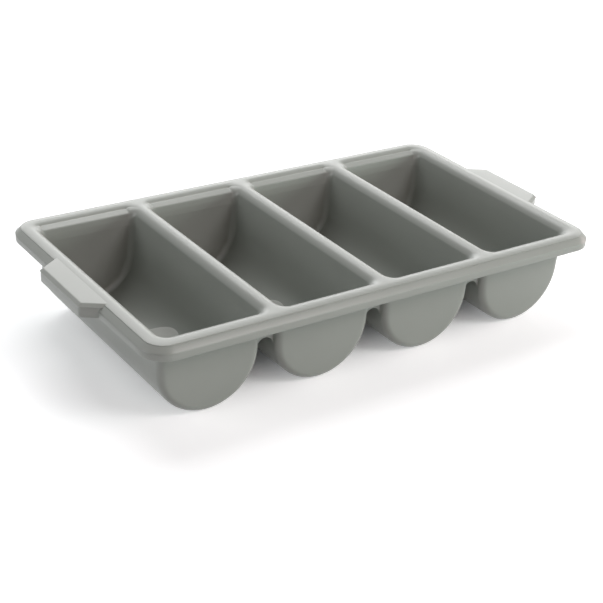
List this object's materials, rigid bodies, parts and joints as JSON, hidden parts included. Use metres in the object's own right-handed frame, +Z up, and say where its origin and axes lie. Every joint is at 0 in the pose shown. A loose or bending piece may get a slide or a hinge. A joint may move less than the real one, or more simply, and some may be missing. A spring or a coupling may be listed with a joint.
{
  "type": "cutlery drawer organizer",
  "caption": "Grey moulded cutlery bin with round-bottomed compartments in a row, a banded rim and a carrying handle at each end",
  "frame": {"origin": "under the middle of the bin, on the surface that the troughs rest on", "axes": "+X along the row of compartments, +Y towards the back, +Z up out of the openings"},
  "size_m": [0.534, 0.291, 0.092],
  "materials": {
    "moulding": "matte"
  },
  "bodies": {
    "root": {"rim_front": "moulding", "rim_back": "moulding", "rim_left": "moulding", "rim_right": "moulding", "rim_corner_front_left": "moulding", "rim_corner_front_right": "moulding", "rim_corner_back_left": "moulding", "rim_corner_back_right": "moulding", "handle_left": "moulding", "handle_right": "moulding", "trough_1": "moulding", "trough_2": "moulding", "trough_3": "moulding", "trough_4": "moulding", "shelf_front_1": "moulding", "shelf_front_2": "moulding", "shelf_front_3": "moulding", "shelf_front_4": "moulding", "shelf_back_1": "moulding", "shelf_back_2": "moulding", "shelf_back_3": "moulding", "shelf_back_4": "moulding", "floor_pad_1": "moulding", "floor_pad_2": "moulding", "floor_pad_3": "moulding", "floor_pad_4": "moulding", "divider_1": "moulding", "divider_2": "moulding", "divider_3": "moulding", "web_front_1": "moulding", "web_front_2": "moulding", "web_front_3": "moulding", "web_back_1": "moulding", "web_back_2": "moulding", "web_back_3": "moulding"}
  },
  "joints": []
}
